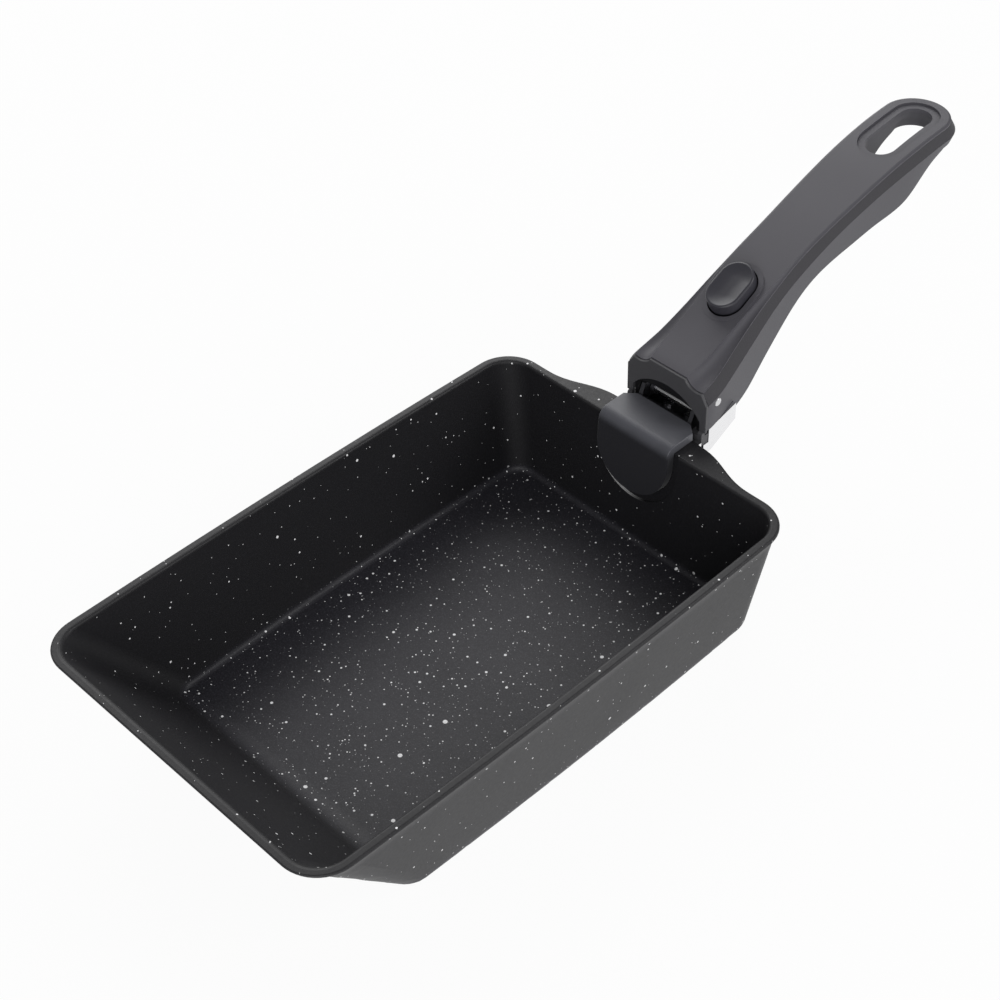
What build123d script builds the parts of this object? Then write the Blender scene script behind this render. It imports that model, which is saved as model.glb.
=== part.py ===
from build123d import *
import os
from math import atan, cos, hypot, pi, radians, sin, sqrt, tan

# A tamagoyaki pan with a clip-on handle, in millimetres.
# X is across the pan, +Y runs from the pan to the handle and +Z is up.
# The origin is the centre of the pan's underside.

# Pan
rim_length = 205.0
rim_width = 133.0
pan_height = 48.5
floor_length = 158.0
floor_width = 110.0
floor_thickness = 3.5
near_lean = 3.9
wall = 2.5
lip_flare = 1.0
lip_height = 6.5
lip_steps = 5
rim_corner_radius = 14.0
floor_corner_radius = 8.0
side_bow = 1.0
base_fillet = 5.0
floor_fillet = 2.0
rim_fillet = 1.0
rim_steps = 4
far_blend_radius = 14.0

# Boss on the handle end of the pan
boss_reach = 6.5
boss_flat_half = 19.0
boss_half = 46.0
boss_face_height = 12.5
boss_ramp = 9.0
boss_edge = 2.0

# Plate in the pan's underside
plate_length = 120.0
plate_width = 84.0
plate_corner_radius = 16.0
plate_thickness = 1.2

# Handle, outer form
handle_gap = 3.5
bezel_depth = 1.0
grip_length = 129.5
handle_front_lift = 19.8
handle_rise = 40.2
nose_half = 18.1
body_depth = 28.9
cover_lip = 0.6
station_gap = 2.0
cover_thickness = 1.8
band_thickness = 2.0
tongue_thickness = 1.3
shell_wall = 2.3
seam = 0.05
deck_depth = 8.6
deck_thickness = 1.4

# Hinge, lever and jaw drive
pivot_back = 5.8
pivot_lift = 12.5
pivot_radius = 1.5
crank_radius = 8.8
lever_travel = 24.0
pin_clearance = 0.05
slot_clearance = 0.1
side_clearance = 0.25
jaw_thickness = 1.6
jaw_gap = 0.3
cover_skin = 0.9
tongue_half = 15.0
tongue_drop = 22.5
arm_thickness = 1.5
chassis_wall = 1.2
chassis_half = 13.4
lever_clearance = 0.65
lever_nose_radius = 18.8

# Heights of the nose's pieces above the rim, or below it
guard_front_lift = 1.9
guard_rear_lift = 5.5
guard_low_drop = 10.3
guard_bend_drop = 7.9
guard_end_drop = 1.6
guard_plate_drop = 2.0
mouth_side_lift = 5.5
mouth_top_lift = 13.1
throat_side_lift = 3.5
throat_shoulder_lift = 7.7
throat_top_lift = 9.3
lip_low_drop = 3.7
lip_top_lift = 0.1
chassis_low_drop = 3.1
chassis_top_lift = 15.1
guide_lift = 2.5
ear_low_lift = 0.45
ear_top_lift = 7.3
web_start_lift = 8.5
catch_top_lift = 29.3
leaf_knee_lift = 27.5

# Release button
button_length = 19.4
button_width = 12.9
button_height = 5.0
button_travel = 2.5
foot_low = 8.2
foot_gap = 0.3
button_clearance = 0.5
button_along = 32.5
button_pitch = 25.0

# Hanging hole
hole_length = 30.8
hole_width = 11.8
hole_step = 2.8
hole_step_depth = 0.8
hole_wall = 3.0
hole_relief = 2.2
hole_rim_depth = 4.4

# Springs
spring_wire = 1.0
spring_radius = 2.9
spring_pitch = 1.5
button_wire = 0.6
button_coil_radius = 2.8
button_coil_turns = 6

overrun = 5.0

# Places worked out from the sizes above
rim_wall = wall + lip_flare
near_inner = floor_length / 2 + near_lean
near_outer = near_inner + rim_wall
far_outer = near_outer - rim_length
far_lean = -far_outer - rim_wall - floor_length / 2
wall_rise = pan_height - floor_thickness
wall_slope = near_lean / wall_rise
boss_face = near_outer + boss_reach
handle_front = boss_face + handle_gap
handle_end = handle_front + grip_length
handle_front_height = pan_height + handle_front_lift
hole_near = handle_end - hole_length + hole_width / 2
pivot = (handle_front + pivot_back, pan_height + pivot_lift)
crank = (pivot[0], pivot[1] - crank_radius)
jaw_stroke = crank_radius * sin(radians(lever_travel))
strip_low = pan_height + cover_skin
strip_high = strip_low + jaw_thickness

# Stations of the handle as shares: along, rise, half width, shoulder half width,
# flat half width, shoulder depth, band depth, body depth, flute.
station_shares = [
    (0.0, 0.0, 0.989, 0.85, 0.44, 0.085, 0.228, 0.78, 0.052),
    (0.02, 0.026, 0.995, 0.845, 0.453, 0.09, 0.232, 0.796, 0.055),
    (0.05, 0.067, 1.0, 0.83, 0.475, 0.1, 0.242, 0.841, 0.062),
    (0.09, 0.119, 0.96, 0.795, 0.492, 0.1, 0.246, 0.896, 0.064),
    (0.145, 0.2, 0.895, 0.74, 0.503, 0.083, 0.249, 0.969, 0.052),
    (0.2, 0.284, 0.835, 0.696, 0.514, 0.066, 0.249, 1.0, 0.042),
    (0.26, 0.377, 0.785, 0.663, 0.541, 0.055, 0.225, 0.917, 0.028),
    (0.325, 0.465, 0.745, 0.635, 0.565, 0.042, 0.194, 0.792, 0.014),
    (0.385, 0.538, 0.725, 0.613, 0.56, 0.024, 0.176, 0.661, 0.006),
    (0.45, 0.61, 0.713, 0.602, 0.552, 0.017, 0.166, 0.574, 0.003),
    (0.535, 0.7, 0.718, 0.613, 0.563, 0.017, 0.152, 0.567, 0.003),
    (0.635, 0.793, 0.735, 0.64, 0.59, 0.017, 0.149, 0.616, 0.003),
    (0.745, 0.886, 0.762, 0.663, 0.613, 0.017, 0.159, 0.664, 0.003),
    (0.855, 0.953, 0.785, 0.68, 0.63, 0.017, 0.163, 0.657, 0.003),
    (0.91, 0.977, 0.79, 0.685, 0.635, 0.017, 0.163, 0.505, 0.003),
    (0.957, 0.992, 0.79, 0.685, 0.635, 0.017, 0.159, 0.384, 0.003),
    (1.0, 1.0, 0.79, 0.685, 0.635, 0.017, 0.156, 0.311, 0.003),
]


def station(row):
    """Real sizes of one row of the station table."""
    along, rise, half, shoulder, flat, shoulder_depth, band, body, flute = row
    return {
        "y": handle_front + grip_length * along,
        "top": handle_front_height + handle_rise * rise,
        "half": nose_half * half,
        "shoulder": nose_half * shoulder,
        "flat": nose_half * flat,
        "shoulder_depth": body_depth * shoulder_depth,
        "band": body_depth * band,
        "body": body_depth * body,
        "flute": body_depth * flute,
    }


stations = [station(row) for row in station_shares]


def handle_at(y):
    """Sizes of the handle at a place along it, between two stations."""
    for low, high in zip(stations, stations[1:]):
        if y <= high["y"]:
            break
    share = (y - low["y"]) / (high["y"] - low["y"])
    return {key: low[key] + (high[key] - low[key]) * share for key in low}


def closed_face(plane, points, middles={}):
    """Face with straight edges, or an arc through the middle given for an edge."""
    edges = []
    for number, start in enumerate(points):
        end = points[(number + 1) % len(points)]
        if number in middles:
            edges.append(ThreePointArc(start, middles[number], end))
        else:
            edges.append(Line(start, end))
    return plane * make_face(edges)


def rounded_face(plane, corners):
    """Face from corners (u, v, radius), each rounded by its own radius."""
    points, middles = [], {}
    count = len(corners)
    for number, (u, v, radius) in enumerate(corners):
        if radius == 0:
            points.append((u, v))
            continue
        before = corners[number - 1]
        after = corners[(number + 1) % count]
        one = (Vector(before[0], before[1]) - Vector(u, v)).normalized()
        two = (Vector(after[0], after[1]) - Vector(u, v)).normalized()
        half_angle = radians(one.get_angle(two)) / 2
        inward = (one + two).normalized()
        corner = Vector(u, v)
        start = corner + one * (radius / tan(half_angle))
        end = corner + two * (radius / tan(half_angle))
        middle = corner + inward * (radius / sin(half_angle) - radius)
        middles[len(points)] = (middle.X, middle.Y)
        points.append((start.X, start.Y))
        points.append((end.X, end.Y))
    return closed_face(plane, points, middles)


def slab(face, low, high):
    """Solid between two distances from a flat face, along its normal."""
    flat = face.faces()[0]
    normal = flat.normal_at()
    return extrude(flat.moved(Location(normal * low)), amount=high - low, dir=normal)


def side_plate(corners, low, high):
    """Plate with an outline in Y and Z, between two places across the handle."""
    face = rounded_face(Plane.YZ, corners)
    return extrude(Pos(low, 0, 0) * face, amount=high - low, dir=(1, 0, 0))


def both_sides(solid):
    """A solid and its mirror image across the middle of the handle."""
    return [solid, mirror(solid, about=Plane.YZ)]


def joined(pieces):
    """One solid from overlapping or touching pieces."""
    result = pieces[0]
    for piece in pieces[1:]:
        result = result + piece
    return result


def cross_rod(y, z, radius, half):
    """Rod across the handle."""
    return Pos(0, y, z) * Rot(0, 90, 0) * Cylinder(radius, 2 * half)


# Pan

def pan_outline(z, grow):
    """Outline of the pan's hollow at a height, or a wall's thickness outside it."""
    share = (z - floor_thickness) / wall_rise
    rim_half = rim_width / 2 - rim_wall
    half = floor_width / 2 + (rim_half - floor_width / 2) * share + grow
    near = floor_length / 2 + near_lean * share + grow
    far = -floor_length / 2 - far_lean * share - grow
    radius = floor_corner_radius + grow
    radius += (rim_corner_radius - rim_wall - floor_corner_radius) * share
    inset = radius * (1 - cos(pi / 4))
    middle = (near + far) / 2
    points = [
        (half, far + radius),
        (half, near - radius),
        (half - radius, near),
        (-half + radius, near),
        (-half, near - radius),
        (-half, far + radius),
        (-half + radius, far),
        (half - radius, far),
    ]
    middles = {
        0: (half + side_bow, middle),
        1: (half - inset, near - inset),
        3: (-half + inset, near - inset),
        4: (-half - side_bow, middle),
        5: (-half + inset, far + inset),
        7: (half - inset, far + inset),
    }
    return closed_face(Plane.XY.offset(z), points, middles)


def pan_shape(low, high, grow_low, grow_high):
    return loft([pan_outline(low, grow_low), pan_outline(high, grow_high)], ruled=True)


def wall_plane(height):
    """Plane on the inside of the handle-end wall, facing into the pan."""
    y = floor_length / 2 + wall_slope * (height - floor_thickness)
    return Plane(origin=(0, y, height), x_dir=(1, 0, 0), z_dir=(0, -1, wall_slope))


def shield(radius, height, drop):
    """U-shaped outline on the handle-end wall, up to a height."""
    centre = pan_height - tongue_drop + tongue_half + cover_skin - drop
    top = height - centre
    points = [(-radius, top), (-radius, 0), (radius, 0), (radius, top)]
    return closed_face(wall_plane(centre), points, {1: (0, -radius)})


seat_margin = 2.0
seat_depth = 0.6
seat_drop = 2.5


def make_pan():
    outer = pan_shape(0, pan_height - rim_fillet, wall, wall)
    outer = fillet(outer.edges().group_by(Axis.Z)[0], base_fillet)
    hollow = pan_shape(floor_thickness, pan_height + overrun, 0, 0)
    hollow = fillet(hollow.edges().group_by(Axis.Z)[0], floor_fillet)
    body = joined([outer] + lip_rings())
    body = body - joined([hollow] + mouth_steps())
    body = body + make_boss()
    body = body + (far_blend() & outer)
    seat = slab(shield(tongue_half + cover_skin + seat_margin, pan_height + overrun, seat_drop),
                -seat_depth, overrun)
    body = body - seat
    pocket = plate_solid(-overrun)
    return body - pocket


def lip_rings():
    """Outward lip of the rim: a soft cove, then a rounded edge."""
    start = pan_height - lip_height
    round_start = pan_height - rim_fillet
    profile = []
    for number in range(lip_steps + 1):
        share = number / lip_steps
        profile.append((start + (round_start - start) * share, wall + lip_flare * share * share))
    for number in range(1, rim_steps + 1):
        turn = pi / 2 * number / rim_steps
        profile.append((round_start + rim_fillet * sin(turn), rim_wall - rim_fillet * (1 - cos(turn))))
    return [pan_shape(low[0], high[0], low[1], high[1]) for low, high in zip(profile, profile[1:])]


def mouth_steps():
    """Widening steps that round the inner edge of the rim."""
    steps = []
    for number in range(rim_steps):
        low = pi / 2 * number / rim_steps
        high = pi / 2 * (number + 1) / rim_steps
        start = pan_height - rim_fillet
        steps.append(pan_shape(start + rim_fillet * sin(low), start + rim_fillet * sin(high),
                               rim_fillet * (1 - cos(low)), rim_fillet * (1 - cos(high))))
    return steps


def make_boss():
    """Thick land on the handle end of the rim that the handle is clamped to."""
    reach = (boss_half - boss_flat_half) / 2
    root = near_inner - overrun
    edges = [
        Spline((boss_half, near_outer), (boss_flat_half + reach, near_outer + boss_reach / 2),
               (boss_flat_half, boss_face), tangents=[(-1, 0), (-1, 0)]),
        Line((boss_flat_half, boss_face), (-boss_flat_half, boss_face)),
        Spline((-boss_flat_half, boss_face), (-boss_flat_half - reach, near_outer + boss_reach / 2),
               (-boss_half, near_outer), tangents=[(-1, 0), (-1, 0)]),
        Line((-boss_half, near_outer), (-boss_half, root)),
        Line((-boss_half, root), (boss_half, root)),
        Line((boss_half, root), (boss_half, near_outer)),
    ]
    low = pan_height - boss_face_height - boss_ramp
    boss = extrude(Pos(0, 0, low) * make_face(edges), amount=pan_height - low)
    low_root = floor_length / 2 + wall_slope * (low - floor_thickness) + wall / 2
    profile = [
        (near_inner + rim_fillet + seam, pan_height, 0),
        (low_root, low, 0),
        (near_outer - rim_wall / 2, low, 0),
        (boss_face, pan_height - boss_face_height, boss_edge),
        (boss_face, pan_height, 0),
    ]
    boss = boss & side_plate(profile, -boss_half, boss_half)
    top = [e for e in boss.edges() if e.center().Z > pan_height - seam and e.center().Y > near_outer]
    return fillet(top, rim_fillet)


def far_blend():
    """Soft concave blend between the floor and the sloped far wall."""
    lean = atan(far_lean / wall_rise)
    turn = pi / 2 - lean
    reach = far_blend_radius * tan(turn / 2)
    corner = (-floor_length / 2, floor_thickness)
    on_floor = (corner[0] + reach, corner[1])
    on_wall = (corner[0] - reach * sin(lean), corner[1] + reach * cos(lean))
    centre = (on_floor[0], floor_thickness + far_blend_radius)
    middle = (centre[0] - far_blend_radius * sin(turn / 2),
              centre[1] - far_blend_radius * cos(turn / 2))
    sunk = wall / 2
    points = [on_floor, on_wall, (on_wall[0] - sunk, on_wall[1]),
              (corner[0] - sunk, corner[1] - sunk), (on_floor[0], on_floor[1] - sunk)]
    face = closed_face(Plane.YZ, points, {0: middle})
    half = floor_width / 2 + wall / 2
    return extrude(Pos(-half, 0, 0) * face, amount=2 * half, dir=(1, 0, 0))


def plate_solid(low):
    corners = []
    for x_side, y_side in ((1, -1), (1, 1), (-1, 1), (-1, -1)):
        corners.append((x_side * plate_width / 2, y_side * plate_length / 2, plate_corner_radius))
    return slab(rounded_face(Plane.XY, corners), low, plate_thickness)


# Handle, outer pieces

def section(place, half_points, arc_first):
    """Symmetric section of the handle from the points of its right half."""
    mirrored = [(-x, z) for x, z in reversed(half_points)]
    points = half_points + mirrored
    middles = {}
    if arc_first:
        (flat_x, flat_z), (edge_x, edge_z) = half_points[0], half_points[1]
        middle = ((flat_x + edge_x) / 2, (flat_z + edge_z) / 2 - place["flute"])
        middles = {0: middle, len(points) - 2: (-middle[0], middle[1])}
    return closed_face(Plane.XZ.offset(-place["y"]), points, middles)


def half_section(place, half_points, arc_first):
    """Right half of a section, closed along the middle."""
    points = [(0, half_points[0][1])] + half_points + [(0, half_points[-1][1])]
    middles = {}
    if arc_first:
        (flat_x, flat_z), (edge_x, edge_z) = half_points[0], half_points[1]
        middles = {1: ((flat_x + edge_x) / 2, (flat_z + edge_z) / 2 - place["flute"])}
    return closed_face(Plane.XZ.offset(-place["y"]), points, middles)


def end_turn(face):
    """Turn the right half of the last section round the handle's end."""
    return revolve(face, Axis((0, handle_end, 0), (0, 0, 1)), revolution_arc=180)


def run_of(places, half_points, arc_first=False):
    faces = [section(place, half_points(place), arc_first) for place in places]
    return loft(faces)


front_place = handle_at(handle_front + bezel_depth + seam)
places = [front_place] + [p for p in stations if p["y"] > front_place["y"] + station_gap]


def cover_points(place):
    top = place["top"]
    lip = place["shoulder_depth"] + cover_lip
    floor = place["shoulder_depth"] + cover_thickness
    inner = place["shoulder"] - band_thickness
    return [
        (place["flat"], top),
        (place["shoulder"], top - place["shoulder_depth"]),
        (place["shoulder"], top - lip),
        (inner, top - lip),
        (inner, top - floor),
    ]


def band_points(place):
    top = place["top"]
    lip = place["shoulder_depth"] + cover_lip + seam
    return [
        (place["shoulder"], top - lip),
        (place["half"], top - place["band"]),
        (place["half"] - band_thickness, top - place["band"]),
        (place["shoulder"] - band_thickness + seam, top - lip),
    ]


bevel = 1.4
bevel_side = 1.0


def shell_points(place):
    top = place["top"]
    floor = place["shoulder_depth"] + cover_thickness + seam
    band = place["band"] + seam
    return [
        (place["shoulder"] - band_thickness, top - floor),
        (place["half"] - band_thickness - seam, top - band),
        (place["half"], top - band),
        (place["half"] - bevel_side, top - place["body"] + bevel),
        (place["half"] - 2 * bevel_side, top - place["body"]),
    ]


def hollow_points(place):
    top = place["top"]
    floor = place["shoulder_depth"] + cover_thickness - overrun
    backing = band_thickness + tongue_thickness
    return [
        (place["shoulder"] - backing, top - floor),
        (place["shoulder"] - backing, top - place["shoulder_depth"] - cover_thickness),
        (place["half"] - backing, top - place["band"] - tongue_thickness),
        (place["half"] - shell_wall, top - place["body"]),
        (place["half"] - shell_wall, top - place["body"] - overrun),
    ]


guard_shoulder = 2.4
guard_front_height = pan_height + guard_front_lift
guard_rear_height = pan_height + guard_rear_lift
guard_length = 16.7
shelf_depth = foot_low + button_travel + foot_gap
shelf_thickness = 1.4
shelf_reach = 8.0
shelf_back = 0.6


def button_plane():
    """Plane on the cover at the button: across, up the slope, out."""
    y = handle_front + button_along
    pitch = radians(button_pitch)
    return Plane(origin=(0, y, handle_at(y)["top"]), x_dir=(1, 0, 0),
                 z_dir=(0, -sin(pitch), cos(pitch)))


def button_point(along, out):
    """Y and Z of a point given up the slope from the button and out of it."""
    pitch = radians(button_pitch)
    plane = button_plane()
    return (plane.origin.Y + along * cos(pitch) - out * sin(pitch),
            plane.origin.Z + along * sin(pitch) + out * cos(pitch))


def button_slot(grow, low, high):
    face = button_plane() * SlotOverall(button_length + 2 * grow, button_width + 2 * grow, rotation=90)
    return slab(face, low, high)


def hole_slot(grow, low, high):
    """Slot through the handle's end, between two heights."""
    centre = hole_near + hole_length / 2
    face = Pos(0, centre, 0) * SlotOverall(hole_length + 2 * grow, hole_width + 2 * grow, rotation=90)
    return slab(Plane.XY * face, low, high)


def end_layer(low, high):
    """Layer of the handle's end between two depths under its sloping top."""
    start = hole_near - 2 * hole_wall
    spots = [start] + [p["y"] for p in places if p["y"] > start] + [handle_end + nose_half]
    tops = [(y, handle_at(min(y, handle_end))["top"]) for y in spots]
    upper = [(y, z - low, 0) for y, z in tops]
    lower = [(y, z - high, 0) for y, z in reversed(tops)]
    return side_plate(upper + lower, -nose_half, nose_half)


screw_shares = (0.47, 0.6, 0.725)
screw_shank = 1.1
screw_head = 2.4
screw_head_height = 1.5
boss_radius = 2.6
pad_height = 0.9
head_clearance = 0.3
collar_width = 1.8
collar_height = 0.9
latch_boss_low = 5.2
latch_boss_start = 13.5
latch_boss_length = 7.0
latch_boss_half = 5.0


def screw_places():
    return [handle_at(handle_front + grip_length * share) for share in screw_shares]


def make_cover():
    cover = run_of(places, cover_points, True)
    cover = cover + end_turn(half_section(places[-1], cover_points(places[-1]), True))
    cover = cover + button_collar()
    for place in screw_places():
        top = place["top"] - cover_thickness
        low = place["top"] - deck_depth + pad_height + seam
        cover = cover + Pos(0, place["y"], (top + low) / 2) * Cylinder(boss_radius, top - low)
    block = latch_boss()
    cover = cover + block
    cover = cover - button_slot(button_clearance, -overrun, overrun)
    end_top = places[-1]["top"]
    cover = cover - hole_slot(0, end_top - 2 * overrun, end_top + overrun)
    step = hole_slot(hole_step, end_top - 2 * overrun, end_top + overrun)
    cover = cover - (step & end_layer(-overrun, hole_step_depth))
    for place in screw_places():
        depth = deck_depth - pad_height - 2 * cover_thickness
        centre = place["top"] - deck_depth + pad_height + depth / 2
        cover = cover - Pos(0, place["y"], centre) * Cylinder(screw_shank, depth)
    return cover - latch_screw_hole()


def button_collar():
    """Low wall round the button that rises from nothing toward the rear."""
    grow = button_clearance + collar_width
    reach = button_length / 2 + grow
    ring = button_slot(grow, -cover_thickness, collar_height)
    front, rear = button_point(-reach, -seam), button_point(reach, collar_height)
    low_rear, low_front = button_point(reach, -cover_thickness), button_point(-reach, -cover_thickness)
    wedge = [(y, z, 0) for y, z in (front, rear, low_rear, low_front)]
    return ring & side_plate(wedge, -nose_half, nose_half)


def latch_boss():
    """Pad under the cover that the latch leaf is screwed to."""
    plane = button_plane()
    end = latch_boss_start + latch_boss_length
    corners = [(-latch_boss_half, latch_boss_start), (latch_boss_half, latch_boss_start),
               (latch_boss_half, end), (-latch_boss_half, end)]
    return slab(closed_face(plane, corners), -latch_boss_low, -cover_thickness)


def make_band():
    right = []
    for place in places:
        right.append(closed_face(Plane.XZ.offset(-place["y"]), band_points(place)))
    strip = loft(right)
    end = end_turn(right[-1])
    return joined([strip, end, mirror(strip, about=Plane.YZ)])


def make_shell():
    shell = run_of(places, shell_points)
    shell = shell + end_turn(half_section(places[-1], shell_points(places[-1]), False))
    block_start = hole_near - hole_wall
    inner_places = [place for place in places if place["y"] < block_start]
    first, last = handle_at(places[0]["y"]), handle_at(block_start)
    first["y"] = first["y"] - overrun
    hollow = run_of([first] + inner_places[1:] + [last], hollow_points)
    shell = shell - hollow
    deck = deck_solid(block_start)
    shelf_start, shelf_end = -shelf_reach, shelf_back
    plane = button_plane()
    shelf_half = handle_at(plane.origin.Y)["half"] - shell_wall / 2
    corners = [(-shelf_half, shelf_start), (shelf_half, shelf_start),
               (shelf_half, shelf_end), (-shelf_half, shelf_end)]
    shelf = slab(closed_face(plane, corners), -shelf_depth - shelf_thickness, -shelf_depth)
    shell = shell + deck + shelf
    guard_end = handle_front + guard_length
    wedge = [
        (handle_front - overrun, guard_front_height - overrun * 4, 0),
        (handle_front - overrun, guard_front_height, 0),
        (handle_front + guard_shoulder, guard_front_height, 0),
        (guard_end, guard_rear_height, 0),
        (guard_end, guard_front_height - overrun * 4, 0),
    ]
    shell = shell - side_plate(wedge, -nose_half - overrun, nose_half + overrun)
    shell = shell - cross_rod(pivot[0], pivot[1], pivot_radius + pin_clearance, nose_half + overrun)
    end_top = places[-1]["top"]
    relief = hole_slot(hole_relief, end_top - body_depth, end_top + overrun)
    shell = shell - (relief & end_layer(hole_rim_depth, body_depth))
    return shell - hole_slot(0, end_top - body_depth, end_top + overrun)


def deck_solid(deck_end):
    """Inner floor above the lever, which the cover is screwed to."""
    deck_start = handle_front + grip_length * station_shares[9][0] - overrun
    along = [deck_start] + [p["y"] for p in places if deck_start < p["y"] < deck_end] + [deck_end]
    tops = [(y, handle_at(y)["top"] - deck_depth) for y in along]
    lows = [(y, z - deck_thickness) for y, z in reversed(tops)]
    face = closed_face(Plane.YZ, tops + lows)
    half = nose_half * station_shares[9][2] - shell_wall / 2
    deck = extrude(Pos(-half, 0, 0) * face, amount=2 * half, dir=(1, 0, 0))
    for place in screw_places():
        top = place["top"] - deck_depth
        height = deck_thickness + pad_height
        deck = deck + Pos(0, place["y"], top + pad_height - height / 2) * Cylinder(boss_radius, height)
    for place in screw_places():
        top = place["top"] - deck_depth
        room = 2 * screw_head_height
        deck = deck - Pos(0, place["y"], top) * Cylinder(screw_shank + pin_clearance, 4 * deck_thickness)
        deck = deck - Pos(0, place["y"], top - deck_thickness - room / 2) * Cylinder(
            screw_head + head_clearance, room)
    return deck


mouth_half = 15.2
mouth_side_height = pan_height + mouth_side_lift
mouth_top_height = pan_height + mouth_top_lift
throat_half = 13.2
throat_shoulder_half = 12.2
throat_side_height = pan_height + throat_side_lift
throat_shoulder_height = pan_height + throat_shoulder_lift
throat_top_height = pan_height + throat_top_lift
liner_thickness = 0.7
liner_gap = 0.5
lip_low = pan_height - lip_low_drop
lip_top = pan_height + lip_top_lift
lip_half = 17.0
lip_forward = 0.7
lip_depth = 2.8
bezel_inset = 0.05
bezel_edge = 0.2


def mouth_face(inset):
    """Arched opening of the nose on the handle's front face."""
    half = mouth_half - inset
    points = [(-half, lip_top + inset), (-half, mouth_side_height), (half, mouth_side_height),
              (half, lip_top + inset)]
    return closed_face(Plane.XZ.offset(-handle_front), points, {1: (0, mouth_top_height - inset)})


def make_bezel():
    place = handle_at(handle_front)
    top = place["top"]
    half_points = [
        (place["flat"] - bezel_inset, top - bezel_inset),
        (place["shoulder"] - bezel_inset, top - place["shoulder_depth"] - bezel_inset),
        (place["half"] - bezel_inset, top - place["band"] - bezel_inset),
        (place["half"] - bezel_inset, guard_front_height),
    ]
    bezel = slab(section(place, half_points, True), -bezel_depth, 0)
    front = bezel.faces().sort_by(Axis.Y)[0]
    bezel = chamfer([e for e in front.edges() if e.center().Z > guard_front_height + seam], bezel_edge)
    lip_front = handle_front - lip_forward
    lip_back = handle_front + lip_depth
    lip_plate = side_plate([
        (lip_front, lip_low, cover_lip),
        (lip_back, lip_low, 0),
        (lip_back, lip_top, 0),
        (handle_front + bezel_depth, lip_top, 0),
        (handle_front + bezel_depth, guard_front_height, 0),
        (lip_front, guard_front_height, 2 * cover_lip),
    ], -lip_half, lip_half)
    bezel = bezel + lip_plate
    return bezel - slab(mouth_face(0), -overrun, overrun)


def make_liner():
    """Inner plate of the mouth, with the opening that the jaw runs through."""
    start = -bezel_depth - seam
    plate = slab(mouth_face(liner_gap), start - liner_thickness, start)
    points = [(-throat_half, lip_low), (-throat_half, throat_side_height),
              (-throat_shoulder_half, throat_shoulder_height),
              (throat_shoulder_half, throat_shoulder_height),
              (throat_half, throat_side_height), (throat_half, lip_low)]
    throat = closed_face(Plane.XZ.offset(-handle_front), points, {2: (0, throat_top_height)})
    return plate - slab(throat, -overrun, overrun)


guard_wall = 1.2
guard_low = pan_height - guard_low_drop
guard_bend_back = 4.5
guard_bend_height = pan_height - guard_bend_drop
guard_end_height = pan_height - guard_end_drop
guard_plate_top = pan_height - guard_plate_drop
guard_half = 17.2
pad_thickness = 1.25
pad_gap = 0.25
pad_half = 13.0
rivet_across = 5.0
rivet_back = 7.5
rivet_radius = 1.2
rivet_head = 2.1
rivet_head_height = 0.8


def guard_front():
    return boss_face + pad_gap + pad_thickness


def make_guard():
    """Sheet shoe: upright jaw plate, sloped underside and two cheeks."""
    front = guard_front()
    back = front + guard_wall
    bend = (handle_front + guard_bend_back, guard_bend_height)
    end = handle_front + guard_length - 2 * seam
    slope = (guard_end_height - guard_bend_height) / (end - bend[0])
    lift = guard_wall * sqrt(1 + slope * slope)
    sheet = side_plate([
        (front, guard_plate_top, 0),
        (front, guard_low, 2 * guard_wall),
        (bend[0], bend[1], 0),
        (end, guard_end_height, 0),
        (end, guard_end_height + lift, 0),
        (bend[0], bend[1] + lift, 0),
        (back, guard_low + 2 * guard_wall, guard_wall),
        (back, guard_plate_top, 0),
    ], -guard_half, guard_half)
    cheek_front = handle_front + lip_depth + 2 * seam
    cheek = side_plate([
        (cheek_front, guard_front_height - 2 * seam, 0),
        (cheek_front, lip_low - 2 * seam, 0),
        (back + guard_wall, lip_low - 2 * seam, 0),
        (back + guard_wall, guard_low + guard_wall, 0),
        (bend[0], bend[1] + guard_wall / 2, 0),
        (end, guard_end_height + guard_wall / 2, 0),
        (end, guard_rear_height - 3 * seam, 0),
    ], guard_half - guard_wall, guard_half)
    guard = joined([sheet] + both_sides(cheek))
    for x in (-rivet_across, rivet_across):
        guard = guard - Pos(x, handle_front + rivet_back, guard_bend_height) * Cylinder(
            rivet_radius + pin_clearance, 4 * overrun)
    return guard


def make_pad():
    corner = 3 * guard_wall
    face = rounded_face(Plane.XZ.offset(-guard_front()), [
        (-pad_half, guard_low + 3 * guard_wall, corner / 2),
        (pad_half, guard_low + 3 * guard_wall, corner / 2),
        (pad_half, guard_plate_top, corner / 4),
        (-pad_half, guard_plate_top, corner / 4),
    ])
    return slab(face, 0, pad_thickness)


chassis_low = pan_height - chassis_low_drop
chassis_top = pan_height + chassis_top_lift
chassis_length = 16.0
web_length = 9.5
guide_back = 11.0
guide_height = pan_height + guide_lift
guide_radius = 1.25
slot_web = 2.2


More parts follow.
